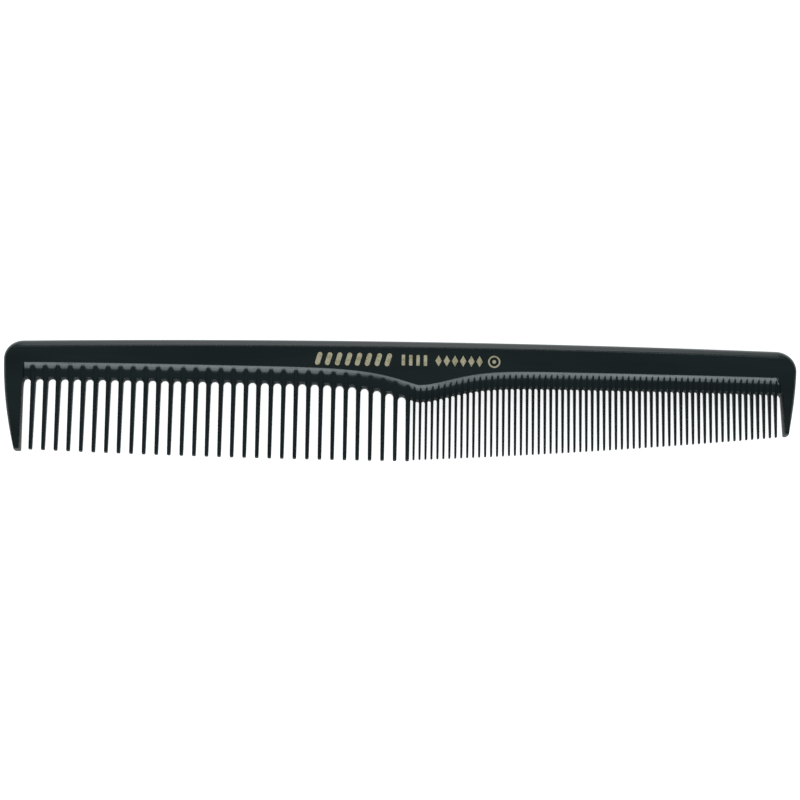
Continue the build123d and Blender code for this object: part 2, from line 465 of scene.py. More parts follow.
    def back_bevel(self, x: np.ndarray) -> np.ndarray:
        """Share of the half thickness that the back's bevel takes at each x."""
        share = (np.abs(x - self.bevel_middle) - self.bevel_level) / self.bevel_reach
        return self.bevel_share - self.bevel_fade * smooth(np.clip(share, 0, 1))


@dataclass
class Rows:
    """The rows of points between the step's edge and the roots of the gaps, and down a tooth."""

    # below the step's edge
    step_offsets: tuple[float, ...] = (-0.5, -0.22, -0.1, -0.03, 0.05, 0.15, 0.35, 0.6, 0.9, 1.25, 1.4, 1.6,
                                       1.8, 2.0, 2.2, 2.4)
    # above the roots of the gaps
    root_offsets: tuple[float, ...] = (1.0, 0.72, 0.48, 0.34, 0.22, 0.12, 0.05, 0.012, 0.0)
    shoulder_row: int = 9               # where the back ends and the web begins
    arc_angles: tuple[float, ...] = (8, 18, 30, 42, 55, 68, 80, 90)     # round the root of a gap
    tooth_steps: tuple[float, ...] = (0.06, 0.2, 0.4, 0.6, 0.8, 1.0)    # shares of the way down a tooth
    tip_steps: tuple[float, ...] = (0.25, 0.48, 0.68, 0.83, 0.93, 0.985, 1.0)

    def web_y(self, shape: CombShape, x: np.ndarray) -> np.ndarray:
        """Y of every row of the web at each x of a cell, rows by columns.

        Args:
            shape: The comb's measures.
            x: X of the cell's columns.

        Returns:
            Rows that follow the step, then rows that settle to a line level at both gaps of the cell.
        """
        step, root = shape.step_y(x), shape.root_y(x)
        share = (x - x[0]) / (x[-1] - x[0])
        level = root[0] + (root[-1] - root[0]) * smooth(share)
        upper = [step - offset for offset in self.step_offsets]
        settle = self.root_offsets[1]
        lower = [level + (root - level) * min(offset / settle, 1) + offset for offset in self.root_offsets]
        return np.array(upper + lower)

    @property
    def root_row(self) -> int:
        """Number of the row at the roots of the gaps."""
        return len(self.step_offsets) + len(self.root_offsets) - 1


def depth_from_gap(x: np.ndarray, y: np.ndarray, gap_x: float, root: float, half_gap: float,
                   arc: float) -> np.ndarray:
    """Depth into the material from the round root of a gap.

    Args:
        x: X of the points.
        y: Y of the points.
        gap_x: X of the gap's middle.
        root: Y of the gap's root.
        half_gap: Half the gap's width.
        arc: Height of its round root.

    Returns:
        About how far each point is from the gap's edge.
    """
    across, above = (x - gap_x) / half_gap, np.clip(y - (root - arc), 0, None) / arc
    reach = np.hypot(across, above)
    slope = np.hypot(across / half_gap, above / arc)
    return np.clip(reach - 1, 0, None) * reach / np.clip(slope, 1e-9, None)


@dataclass
class ToothCell:
    """One tooth with its share of the web and of the cove, as one grid of points."""

    shape: CombShape
    rows: Rows
    row: ToothRow
    centre: float
    tip: float
    left_gap: float
    right_gap: float
    left_round: float
    right_round: float

    def grid(self) -> np.ndarray:
        """The points of the cell, from the back's flat face to the tip of the tooth.

        Returns:
            Rows by columns by X, Y and half thickness.
        """
        web, tooth = (np.array(side) for side in (self.row.web_columns, self.row.tooth_columns))
        web = np.concatenate([-web[:0:-1], web])
        tooth = np.concatenate([-tooth[:0:-1], tooth])
        left_share, right_share = self.centre - self.left_gap, self.right_gap - self.centre
        web_x = self.centre + np.where(web < 0, web * left_share, web * right_share)
        web_x[0], web_x[-1] = self.left_gap, self.right_gap
        y = self.rows.web_y(self.shape, web_x)
        x = np.broadcast_to(web_x, y.shape)
        grids = [np.stack([x, y, self.half_thickness(x, y, self.row.root_width / 2)], axis=-1)]
        grids[0][-1, [0, -1], 2] = 0
        grids.append(self._arc_rows(web_x, tooth, y[-1]))
        grids.append(self._tooth_rows(tooth, grids[1][-1]))
        return np.vstack(grids)

    def half_thickness(self, x: np.ndarray, y: np.ndarray, half_width: float | np.ndarray) -> np.ndarray:
        """Half thickness of the web with the tooth's rib standing on it.

        Args:
            x: X of the points.
            y: Y of the points.
            half_width: Half the width of the tooth there.

        Returns:
            The half thicknesses.
        """
        plate = self.shape.web_half(x, y)
        for gap, width in ((self.left_gap, self.left_round), (self.right_gap, self.right_round)):
            half_gap = abs(gap - self.centre) - self.row.root_width / 2
            depth = depth_from_gap(x, y, gap, float(self.shape.root_y(gap)), half_gap,
                                   self.row.gap_arc * half_gap)
            plate = plate * quarter_round(depth, width)
        up = np.clip((y - self.shape.root_y(self.centre)) / self.shape.web_height, 0, 1)
        across = (x - self.centre) / (half_width + self.row.rib_spread * up)
        rib = self.tooth_half(y) * self.row.section(across)
        # the fillet shrinks where the web thins out towards a gap
        fillet = self.shape.fillet * np.clip(plate, 0.05, 1)
        return np.where(rib > 0, soft_max(plate, rib, fillet), plate)

    def tooth_half(self, y: np.ndarray) -> np.ndarray:
        """Half thickness along the middle of the tooth.

        Args:
            y: Y of the points.

        Returns:
            The half thicknesses.
        """
        root = float(self.shape.root_y(self.centre))
        part_way = np.clip((root - y) / (root - self.tip), 0, 1)
        at_root, at_tip = self.shape.tooth_half_root, self.shape.tooth_half_tip
        return at_root + (at_tip - at_root) * part_way

    def _arc_rows(self, web_x: np.ndarray, tooth: np.ndarray, root_y: np.ndarray) -> np.ndarray:
        """Rows that follow the round roots of the two gaps into the tooth.

        Args:
            web_x: X of the cell's columns in the web.
            tooth: Places of its columns across the tooth, from -1 to 1.
            root_y: Y of the row at the roots.

        Returns:
            Rows by columns by X, Y and half thickness.
        """
        half_root = self.row.root_width / 2
        left_half = self.centre - self.left_gap - half_root
        right_half = self.right_gap - self.centre - half_root
        out = []
        for angle in np.radians(self.rows.arc_angles):
            inward, down = np.sin(angle), 1 - np.cos(angle)
            left_edge, right_edge = self.left_gap + left_half * inward, self.right_gap - right_half * inward
            left_y = root_y[0] - self.row.gap_arc * left_half * down
            right_y = root_y[-1] - self.row.gap_arc * right_half * down
            across = np.where(web_x < self.centre, (web_x - self.centre) / (self.centre - self.left_gap),
                              (web_x - self.centre) / (self.right_gap - self.centre))
            across = (1 - inward) * across + inward * tooth
            x = self.centre + np.where(across < 0, across * (self.centre - left_edge),
                                       across * (right_edge - self.centre))
            y = left_y + (right_y - left_y) * smooth((x - left_edge) / (right_edge - left_edge))
            z = self.half_thickness(x, y, half_root)
            z[[0, -1]] = 0
            out.append(np.stack([x, y, z], axis=-1))
        return np.array(out)

    def _tooth_rows(self, tooth: np.ndarray, above: np.ndarray) -> np.ndarray:
        """Rows down the tooth and round its tip.

        Args:
            tooth: Places of the columns across the tooth, from -1 to 1.
            above: The row that these follow.

        Returns:
            Rows by columns by X, Y and half thickness.
        """
        half_root, half_tip = self.row.root_width / 2, self.row.tip_width / 2
        tip_start = self.tip + self.row.tip_length
        section = self.row.section(tooth)
        out = []
        for step in self.rows.tooth_steps:
            half_width = half_root + (half_tip - half_root) * step
            y = above[:, 1] + (tip_start - above[:, 1]) * step
            out.append(np.stack([self.centre + half_width * tooth, y, self.tooth_half(y) * section], axis=-1))
        for step in self.rows.tip_steps:
            shrink = float(self.row.section(np.array(step)))
            y = np.full_like(tooth, tip_start - self.row.tip_length * step)
            z = self.tooth_half(np.array(tip_start)) * section * shrink
            out.append(np.stack([self.centre + half_tip * shrink * tooth, y, z], axis=-1))
        return np.array(out)


@dataclass
class Rim:
    """Stations along a stretch of the outline (mm), each with its inward direction and edge rounding."""

    places: np.ndarray
    inward: np.ndarray
    widths: np.ndarray
    bevels: np.ndarray          # share of the height that is a straight bevel; the rest rounds its nose

    RINGS: ClassVar[tuple[float, ...]] = (0, 0.006, 0.03, 0.09, 0.18, 0.31, 0.47, 0.66, 0.84, 0.96, 1.04, 1.3)

    def grid(self, half: float) -> np.ndarray:
        """Rings of points from the parting line in to the flat face.

        Args:
            half: Half the thickness of the comb there.

        Returns:
            Stations by rings by X, Y and half thickness.
        """
        shares = np.array(self.RINGS)
        offsets = self.widths[:, None] * shares
        xy = self.places[:, None, :] + self.inward[:, None, :] * offsets[..., None]
        bevel = self.bevels[:, None]
        height = bevel * np.minimum(shares, 1) + (1 - bevel) * quarter_round(shares, 1 - bevel)
        return np.concatenate([xy, half * height[..., None]], axis=-1)


@dataclass
class Guard:
    """An end guard, drawn with +X outwards and turned to its own end by its side."""

    shape: CombShape
    rows: Rows
    side: int                   # -1 at the coarse end, 1 at the fine end
    inner: float                # X of the inner edge, outwards from the middle
    gap: float                  # X of the middle of the last gap
    tip: float
    tip_width: float
    side_point: Pair           # on the outer side
    corner_point: Pair         # where the outer side would meet the back without a round
    corner_radius: float
    near_steps: tuple[float, ...]       # columns from the gap's middle out, short of the inner edge
    far_steps: tuple[float, ...]        # and beyond it, to the flat face
    plate_round: float          # width of the rounding of the web's edge at the last tooth
    gap_arc: float = 2.1
    inner_round: float = 0.35           # widths of the edge roundings
    side_round: float = 0.9
    back_round: float = 1.75
    inner_lean: float = -0.12           # of the inner edge outwards, at the tip
    tip_round: float = 0.38             # radius of the tip's corners in plan
    tip_edge: float = 0.7               # width of the tip's edge rounding, as a share of tip_round
    back_reach: float = 2.0             # length of back, past the inner edge, that the guard sets out
    split: int = field(init=False)              # number of the column on the inner edge
    steps: np.ndarray = field(init=False)       # X of the columns, from the gap's middle

    def __post_init__(self) -> None:
        """Puts a column on the inner edge, where the web and the back end."""
        self.split = len(self.near_steps)
        self.steps = np.array([*self.near_steps, self.inner - self.gap, *self.far_steps])

    def bundle(self) -> np.ndarray:
        """Columns from the last gap out to the guard's face, running down into the inner edge.

        Returns:
            Rows by rings by X, Y and half thickness.
        """
        shape, steps = self.shape, self.steps
        x = self.gap + steps
        y = self.rows.web_y(shape, self.side * x)
        x = np.broadcast_to(x, y.shape)
        root = float(shape.root_y(self.side * self.gap))
        half_gap = self.inner - self.gap
        upper = np.stack([x, y, self._bundle_half(x, y, root, half_gap)], axis=-1)
        upper[-1, 0, 2] = 0
        out = [upper]
        rings = np.array(Rim.RINGS) * self.inner_round
        for angle in np.radians(self.rows.arc_angles):
            outward, down = np.sin(angle), 1 - np.cos(angle)
            x = self.gap + half_gap * outward + (1 - outward) * steps + outward * rings
            y = np.full_like(x, root - self.gap_arc * down) + (1 - outward) * (upper[-1, :, 1] - root)
            z = self._bundle_half(x, y, root, half_gap)
            edge = self.shape.half * quarter_round(rings, self.inner_round)
            z = (1 - outward) * z + outward * edge
            z[0] = 0
            out.append(np.stack([x, y, z], axis=-1)[None])
        return np.vstack(out)

    def _bundle_half(self, x: np.ndarray, y: np.ndarray, root: float, half_gap: float) -> np.ndarray:
        """Half thickness beside the last gap.

        Args:
            x: X of the points.
            y: Y of the points.
            root: Y of the gap's root.
            half_gap: Half the gap's width.

        Returns:
            The half thicknesses.
        """
        depth = depth_from_gap(x, y, self.gap, root, half_gap, self.gap_arc)
        share = np.clip((x - self.gap) / half_gap, 0, 1)
        width = self.plate_round + (self.inner_round - self.plate_round) * share
        return self.shape.web_half(self.side * x, y) * quarter_round(depth, width)

    def rim(self, start: np.ndarray) -> Rim:
        """The outline from the inner edge round the tip, up the side, round the corner and onto the back.

        Args:
            start: Where the bundle ends on the outline.

        Returns:
            The stations, beginning at start.
        """
        shape = self.shape
        side_centre, side_radius = circle_through(
            (self.inner + self.tip_width, self.tip), self.side_point, self.corner_point)
        back_centre, back_radius = self._back_circle()
        corner = self._corner_centre(side_centre, side_radius, back_centre, back_radius)
        tip_width = self.tip_edge * self.tip_round
        stations: list[tuple[np.ndarray, np.ndarray, float, float]] = []

        def sweep(centre: np.ndarray, radius: float, first: float, last: float, count: int,
                  width: Pair, bevel: Pair = (0.0, 0.0)) -> None:
            """Adds stations along an arc, with its first left out.

            Args:
                centre: The arc's centre.
                radius: Its radius.
                first: Angle where it starts.
                last: Angle where it ends.
                count: Number of stations, with the first.
                width: Edge rounding at its start and its end.
                bevel: Share of the bevel at its start and its end.
            """
            for part in np.linspace(0, 1, count)[1:]:
                angle = first + (last - first) * part
                out = np.array([np.cos(angle), np.sin(angle)])
                stations.append((centre + radius * out, -out, width[0] + (width[1] - width[0]) * part,
                                 bevel[0] + (bevel[1] - bevel[0]) * part))

        level = self.tip + self.tip_round
        inner_corner = np.array([self.inner + self.inner_lean + self.tip_round, level])
        reach = side_radius - self.tip_round
        outer_corner = np.array([side_centre[0] + np.sqrt(reach**2 - (level - side_centre[1]) ** 2), level])
        inner_end = inner_corner - (self.tip_round, 0)
        for part in np.linspace(0, 1, 11):
            width = self.inner_round + (tip_width - self.inner_round) * float(smooth(part))
            stations.append((start + (inner_end - start) * part, np.array([1.0, 0.0]), width, 0.0))
        side_from, side_to, back_to = (np.arctan2(*(a - b)[::-1]) for a, b in (
            (outer_corner, side_centre), (corner, side_centre), (corner, back_centre)))
        sweep(inner_corner, self.tip_round, -np.pi, -np.pi / 2, 7, (tip_width, tip_width))
        sweep(outer_corner, self.tip_round, -np.pi / 2 - 1e-3, side_from, 7, (tip_width, tip_width))
        near = side_from + (side_to - side_from) / 3
        sweep(side_centre, side_radius, side_from, near, 9, (tip_width, self.side_round))
        sweep(side_centre, side_radius, near, side_to, 17, (self.side_round, self.side_round))
        bevel = float(self.shape.back_bevel(np.array(self.side * corner[0])))
        sweep(corner, self.corner_radius, side_to, back_to, 17, (self.side_round, self.back_round),
              (0.0, bevel))
        for x in np.linspace(stations[-1][0][0], self.inner - self.back_reach, 9)[1:]:
            place = np.array([x, back_centre[1] + np.sqrt(back_radius**2 - (x - back_centre[0]) ** 2)])
            bevel = float(self.shape.back_bevel(np.array(self.side * x)))
            stations.append((place, (back_centre - place) / back_radius, self.back_round, bevel))
        places, inward, widths, bevels = (np.array(column) for column in zip(*stations))
        return Rim(places, inward, widths, bevels)

    def _back_circle(self) -> tuple[np.ndarray, float]:
        """The back's circle, turned to this end."""
        centre, radius = self.shape.back_circle()
        return centre * (self.side, 1), radius

    def _corner_centre(self, side_centre: np.ndarray, side_radius: float, back_centre: np.ndarray,
                       back_radius: float) -> np.ndarray:
        """Finds the round corner that touches the back and the outer side.

        Args:
            side_centre: Centre of the outer side's circle.
            side_radius: Its radius.
            back_centre: Centre of the back's circle.
            back_radius: Its radius.

        Returns:
            The corner's centre.
        """
        a, b = side_radius - self.corner_radius, back_radius - self.corner_radius
        apart = back_centre - side_centre
        distance = np.linalg.norm(apart)
        along = (a * a - b * b + distance**2) / (2 * distance)
        across = np.sqrt(a * a - along**2)
        unit = apart / distance
        sideways = across * np.array([-unit[1], unit[0]])
        choices = [side_centre + along * unit + way * sideways for way in (-1, 1)]
        return max(choices, key=lambda centre: centre[0])

    def turned(self, grid: np.ndarray) -> np.ndarray:
        """Points turned from outwards to this guard's own end."""
        return grid * (self.side, 1, 1)


# ------------------------------------------------------------------------------------------------ foil
@dataclass(frozen=True)
class FoilMark:
    """A group of equal foil islands in their seats (mm)."""

    node: str
    count: int
    pitch: float
    first: float
    line: float

    def loops(self) -> list[np.ndarray]:
        """The outline of each island, at its place on the comb."""
        return [self.outline() + (self.first + i * self.pitch, self.line) for i in range(self.count)]

    def outline(self) -> np.ndarray:
        """The outline of one island about its middle."""
        raise NotImplementedError


@dataclass(frozen=True)
class Slash(FoilMark):
    """Slanted bars with round ends."""

    length: float = 3.2
    width: float = 1.15
    slant: float = 16

    def outline(self) -> np.ndarray:
        """Draws a round-ended bar, leaning towards the fine teeth.

        Returns:
            Its outline.
        """
        radius = self.width / 2
        angles = np.radians(np.linspace(0, 180, 13))
        cap = radius * np.stack([np.cos(angles), np.sin(angles)], axis=-1) + (0, self.length / 2 - radius)
        bar = np.vstack([cap, -cap])
        lean = np.radians(-self.slant)
        turn = np.array([[np.cos(lean), np.sin(lean)], [-np.sin(lean), np.cos(lean)]])
        return bar @ turn


@dataclass(frozen=True)
class Bar(FoilMark):
    """Small upright bars with rounded corners."""

    width: float = 0.8
    length: float = 2.6
    corner: float = 0.2

    def outline(self) -> np.ndarray:
        """Draws a bar with rounded corners.

        Returns:
            Its outline.
        """
        out = []
        for quarter, (sx, sy) in enumerate(((1, 1), (-1, 1), (-1, -1), (1, -1))):
            angles = np.radians(90 * quarter + np.linspace(0, 90, 5))
            middle = (sx * (self.width / 2 - self.corner), sy * (self.length / 2 - self.corner))
            out.append(self.corner * np.stack([np.cos(angles), np.sin(angles)], axis=-1) + middle)
        return np.vstack(out)


@dataclass(frozen=True)
class Lozenge(FoilMark):
    """Small upright lozenges."""

    width: float = 1.5
    length: float = 2.7

    def outline(self) -> np.ndarray:
        """A lozenge."""
        half = np.array([[self.width / 2, 0], [0, self.length / 2]])
        return np.vstack([half, -half])


@dataclass(frozen=True)
class RingAndDot(FoilMark):
    """A ring round a dot."""

    radius: float = 1.45
    width: float = 0.4
    dot: float = 0.45

    def outline(self) -> np.ndarray:
        """The ring's outer circle."""
        return self.circle(self.radius)

    def circle(self, radius: float) -> np.ndarray:
        """A circle about the mark's middle."""
        angles = np.linspace(0, 2 * np.pi, 48, endpoint=False)
        return radius * np.stack([np.cos(angles), np.sin(angles)], axis=-1)


@dataclass
class FoilStamp:
    """The seats of one group of marks in the back, and the foil in them (mm from the parting plane)."""

    mark: FoilMark
    face: float                 # height of the back's flat face
    seat_depth: float = 0.1
    foil_thickness: float = 0.06
    clearance: float = 0.01
    edge: float = 0.02          # rounding of the foil's edge

    def seats(self) -> list[list[np.ndarray]]:
        """Sets out the seats of the marks.

        Returns:
            The loops of each seat, from its rim at the face down to its floor.
        """
        floor = self.face - self.seat_depth
        if isinstance(self.mark, RingAndDot):
            mark, gap = self.mark, self.clearance
            outer, inner, dot = mark.radius + gap, mark.radius - mark.width - gap, mark.dot + gap
            steps = [(outer, self.face), (outer, floor), (inner, floor), (inner, self.face), (dot, self.face),
                     (dot, floor)]
            middle = (mark.first, mark.line)
            return [[self._raised(mark.circle(radius) + middle, z) for radius, z in steps]]
        return [[self._raised(loop, self.face), self._raised(loop, floor)] for loop in self.mark.loops()]

    def foil(self) -> Solid:
        """Builds the foil of the group.

        Returns:
            One piece of closed islands.
        """
        low = self.face - self.seat_depth
        high = low + self.foil_thickness
        points: list[np.ndarray] = []
        faces: list[list[int]] = []
        if isinstance(self.mark, RingAndDot):
            mark, middle = self.mark, (self.mark.first, self.mark.line)
            hole = mark.radius - mark.width
            steps = [(mark.radius, low), (mark.radius, high - self.edge), (mark.radius - self.edge, high),
                     (hole + self.edge, high), (hole, high - self.edge), (hole, low)]
            ring = [self._raised(mark.circle(radius) + middle, z) for radius, z in steps]
            self._stack(points, faces, ring, ring_shaped=True)
            dot = [(mark.dot, low), (mark.dot, high - self.edge), (mark.dot - self.edge, high)]
            self._stack(points, faces, [self._raised(mark.circle(radius) + middle, z) for radius, z in dot])
        else:
            for loop in self.mark.loops():
                middle = loop.mean(axis=0)
                size = np.abs(loop - middle).max()
                inset = [(self.clearance, low), (self.clearance, high - self.edge),
                         (self.clearance + self.edge, high)]
                self._stack(points, faces, [
                    self._raised(middle + (loop - middle) * (1 - by / size), z) for by, z in inset])
        return Solid(self.mark.node, (self.mark.node,), np.vstack(points), [], faces)

    @staticmethod
    def _raised(loop: np.ndarray, z: float) -> np.ndarray:
        """A flat loop at a height."""
        return np.column_stack([loop, np.full(len(loop), z)])

    @staticmethod
    def _stack(points: list[np.ndarray], faces: list[list[int]], loops: list[np.ndarray],
               ring_shaped: bool = False) -> None:
        """Joins loops of equal length into a closed island.

        Args:
            points: The piece's points, which the loops are added to.
            faces: The piece's faces, which the island's are added to.
            loops: The loops, from the lowest.
            ring_shaped: Whether the last loop joins the first, instead of a cap at each end.
        """
        first = sum(len(block) for block in points)
        count = len(loops[0])
        points.extend(loops)
        pairs = [(n, n + 1) for n in range(len(loops) - 1)] + ([(len(loops) - 1, 0)] if ring_shaped else [])
        for lower, upper in pairs:
            for i in range(count):
                j = (i + 1) % count
                faces.append([first + lower * count + i, first + lower * count + j,
                              first + upper * count + j, first + upper * count + i])
        if not ring_shaped:
            faces.append([first + i for i in reversed(range(count))])
            faces.append([first + (len(loops) - 1) * count + i for i in range(count)])


# ------------------------------------------------------------------------------------------------ moulding
@dataclass
class Moulding:
    """The whole comb as one surface, parted where the CAD parts it."""

    shape: CombShape
    rows: Rows
    stamps: list[FoilStamp]
    back_spacing: float = 2.0
    back: Skin = field(init=False)
    webs: list[Skin] = field(init=False)
    guards: list[Guard] = field(init=False)

    def __post_init__(self) -> None:
        """Sets out the guards and the pieces."""
        shape = self.shape
        self.back = Skin("back", ("back_spine",))
        self.webs = [Skin(f"{row.name}_web", (f"{row.name}_root_web",)) for row in shape.rows]
        self.guards = [
            Guard(
                shape, self.rows, side=-1, inner=-shape.coarse_inner, gap=-float(shape.coarse_gaps[0]),
                tip=float(shape.coarse_low[1]), tip_width=1.35, side_point=(91.45, 0.0),
                corner_point=(-shape.coarse_corner[0], shape.coarse_corner[1]), corner_radius=4.4,
                near_steps=(0, 0.3, 0.5, 0.58, 0.66, 0.74, 0.82), far_steps=(0.95, 1.02, 1.1, 1.25),
                plate_round=shape.rows[0].plate_round,
            ),
            Guard(
                shape, self.rows, side=1, inner=shape.fine_inner, gap=float(shape.fine_gaps[-1]),
                tip=float(shape.fine_low[1]), tip_width=1.5, side_point=(91.5, 3.0),
                corner_point=shape.fine_corner, corner_radius=4.7,
                near_steps=(0, 0.05, 0.1, 0.16, 0.22, 0.28, 0.34, 0.42, 0.5), far_steps=(0.7, 0.85),
                plate_round=shape.rows[1].plate_round, gap_arc=1.0, inner_round=0.3, inner_lean=0.48,
            ),
        ]

    def solids(self) -> list[Solid]:
        """Builds every piece of the moulding, closed.

        Returns:
            The back, the webs, the guards and the teeth.
        """
        teeth, edge = self._teeth()
        guards = [Skin(name, (name,)) for name in ("coarse_end_guard", "fine_end_guard")]
        rests, firsts = zip(*(self._guard(guard, skin, web)
                              for guard, skin, web in zip(self.guards, guards, self.webs)))
        start, end = (guard.side * (guard.inner - guard.back_reach) for guard in self.guards)
        count = round((end - start) / self.back_spacing) + 1
        middle = self._back_rim(np.linspace(start, end, count)).grid(self.shape.half)
        for grid in (rests[0], middle, rests[1]):
            self.back.add_grid(grid)
        rim = np.vstack([rests[0][:, -1], middle[1:-1, -1], rests[1][::-1, -1]])
        lower = np.vstack([firsts[0][::-1], edge[1:-1], firsts[1]])
        seats = [seat for stamp in self.stamps for seat in stamp.seats()]
        self.back.add_flat(np.vstack([rim, lower[::-1]]), tuple(seat[0] for seat in seats))
        for seat in seats:
            self.back.add_seat(seat)
        return [skin.close() for skin in [self.back, *self.webs, *guards, *teeth]]

    def _teeth(self) -> tuple[list[Skin], np.ndarray]:
        """Adds every tooth with its share of the web and of the back.

        Returns:
            The teeth's skins, and the points where the cells begin on the back's flat face.
        """
        shoulder, root = self.rows.shoulder_row, self.rows.root_row
        coarse, fine = self.shape.rows
        skins: list[Skin] = []
        edge: list[np.ndarray] = []
        for row, gaps, web in zip((coarse, fine), (self.shape.coarse_gaps, self.shape.fine_gaps), self.webs):
            together = Skin("fine_teeth", ("fine_teeth",))
            for i, (centre, tip) in enumerate(zip(row.centres, row.tips)):
                left_round = coarse.plate_round if row is fine and i == 0 else row.plate_round
                cell = ToothCell(self.shape, self.rows, row, float(centre), float(tip), float(gaps[i]),
                                 float(gaps[i + 1]), left_round, row.plate_round).grid()
                name = f"coarse_tooth_{i + 1:02d}"
                skin = together if row is fine else Skin(name, (name,))
                self.back.add_grid(cell[:shoulder + 1])
                web.add_grid(cell[shoulder:root + 1])
                skin.add_grid(cell[root:])
                edge.append(cell[0] if not edge else cell[0, 1:])
                if row is coarse:
                    skins.append(skin)
            if row is fine:
                skins.append(together)
        return skins, np.vstack(edge)

    def _guard(self, guard: Guard, skin: Skin, web: Skin) -> tuple[np.ndarray, np.ndarray]:
        """Adds a guard with its share of the web and of the back.

        Args:
            guard: The guard.
            skin: The guard's own skin.
            web: The web beside it.

        Returns:
            The back's stretch of the rim, from the guard inwards, and the points where the back's share of
            the last gap begins on the flat face, from the gap outwards.
        """
        shoulder, root, split = self.rows.shoulder_row, self.rows.root_row, guard.split
        bundle = guard.bundle()
        rim = guard.rim(bundle[-1, 0, :2])
        grid = rim.grid(self.shape.half)
        high = np.flatnonzero(rim.places[:, 1] > self.shape.step_height)
        cut = int(high[np.argmin(np.abs(rim.places[high, 0] - guard.inner))])
        self.back.add_grid(guard.turned(bundle[:shoulder + 1, :split + 1]))
        web.add_grid(guard.turned(bundle[shoulder:root + 1, :split + 1]))
        for part in (bundle[:root + 1, split:], bundle[root:], grid[:cut + 1]):
            skin.add_grid(guard.turned(part))
        outline = np.vstack([grid[:cut + 1, -1], bundle[0, split:], bundle[1:-1, -1]])
        skin.add_flat(guard.turned(outline))
        return guard.turned(grid[cut:]), guard.turned(bundle[0, :split + 1])

    def _back_rim(self, x: np.ndarray) -> Rim:
        """Lays stations along the back.

        Args:
            x: X of the stations.

        Returns:
            The stretch of the rim.
        """
        centre, radius = self.shape.back_circle()
        places = np.column_stack([x, centre[1] + np.sqrt(radius**2 - (x - centre[0]) ** 2)])
        widths = np.full(len(x), self.guards[0].back_round)
        return Rim(places, (centre - places) / radius, widths, self.shape.back_bevel(x))


@dataclass
class SurfaceNormals:
    """Normals of the whole moulding, so that the pieces it is parted into shade as one surface."""

    keys: np.ndarray = field(default_factory=lambda: np.empty((0, 3), np.int64))
    normals: np.ndarray = field(default_factory=lambda: np.empty((0, 3)))

    @classmethod
    def of(cls, solids: list[Solid]) -> "SurfaceNormals":
        """Adds up the normals of the smooth faces round each place.

        Args:
            solids: The pieces.

        Returns:
            The normals by place.
        """
        places, vectors = [], []
        for solid in solids:
            corners = solid.points[np.array([face + face[-1:] * (4 - len(face)) for face in solid.soft])]
            a, b, c, d = (corners[:, i] for i in range(4))
            area = np.cross(b - a, c - a) + np.cross(c - a, d - a)
            for i, face_corner in enumerate((a, b, c, d)):
                real = np.ones(len(a), bool) if i < 3 else np.any(c != d, axis=1)
                places.append(np.round(face_corner[real] / WELD).astype(np.int64))
                vectors.append(area[real])
        keys, where = np.unique(np.vstack(places), axis=0, return_inverse=True)
        sums = np.zeros((len(keys), 3))
        np.add.at(sums, where.reshape(-1), np.vstack(vectors))
        lengths = np.linalg.norm(sums, axis=1, keepdims=True)
        return cls(keys, sums / np.clip(lengths, 1e-12, None))

    def at(self, points: np.ndarray) -> np.ndarray:
        """Looks up the normal at each point.

        Args:
            points: Pairs (mm from the parting plane).

        Returns:
            Their normals.
        """
        table = {tuple(key): normal for key, normal in zip(self.keys.tolist(), self.normals)}
        keys = np.round(points / WELD).astype(np.int64).tolist()
        return np.array([table.get(tuple(key), (0, 0, 1)) for key in keys])


# ------------------------------------------------------------------------------------------------ finishes
def add_node(tree: bpy.types.NodeTree, kind: str, settings: dict[str, str] | None = None,
             **inputs: float | tuple | bpy.types.Node | bpy.types.NodeSocket) -> bpy.types.Node:
    """Adds a node to a tree, with its settings, values and links.

    Args:
        tree: The node tree.
        kind: The node's type, without "ShaderNode".
        settings: Attributes of the node.
        **inputs: For each input, named in lower case with underscores, or by number as _0: a value, an
            output socket to link from, or a node to link from by its first output.

    Returns:
        The node.
    """
    node = tree.nodes.new("ShaderNode" + kind)
    for name, value in (settings or {}).items():
        setattr(node, name, value)
    by_name = {socket.name.lower().replace(" ", "_"): socket for socket in reversed(node.inputs)}
    for name, value in inputs.items():
        socket = node.inputs[int(name[1:])] if name[0] == "_" else by_name[name]
        if isinstance(value, bpy.types.Node):
            value = value.outputs[0]
        if isinstance(value, bpy.types.NodeSocket):
            tree.links.new(value, socket)
        else:
            socket.default_value = value
    return node


def blank_material(name: str) -> tuple[bpy.types.Material, bpy.types.NodeTree]:
    """Makes a material with nothing in it.

    Args:
        name: The material's name.

    Returns:
        The material and its node tree.
    """
    material = bpy.data.materials.new(name)
    material.use_nodes = True
    material.node_tree.nodes.clear()
    return material, material.node_tree


def pattern_place(tree: bpy.types.NodeTree, size: Triple) -> bpy.types.Node:
    """Pattern coordinates on the part itself, in units of the pattern's real size.

    Args:
        tree: The node tree.
        size: Length of one unit of the pattern along each axis, in millimetres.

    Returns:
        The node that gives the coordinates.
    """
    place = add_node(tree, "TexCoord").outputs["Object"]
    return add_node(tree, "Mapping", vector=place, scale=tuple(1 / (length * MM) for length in size))


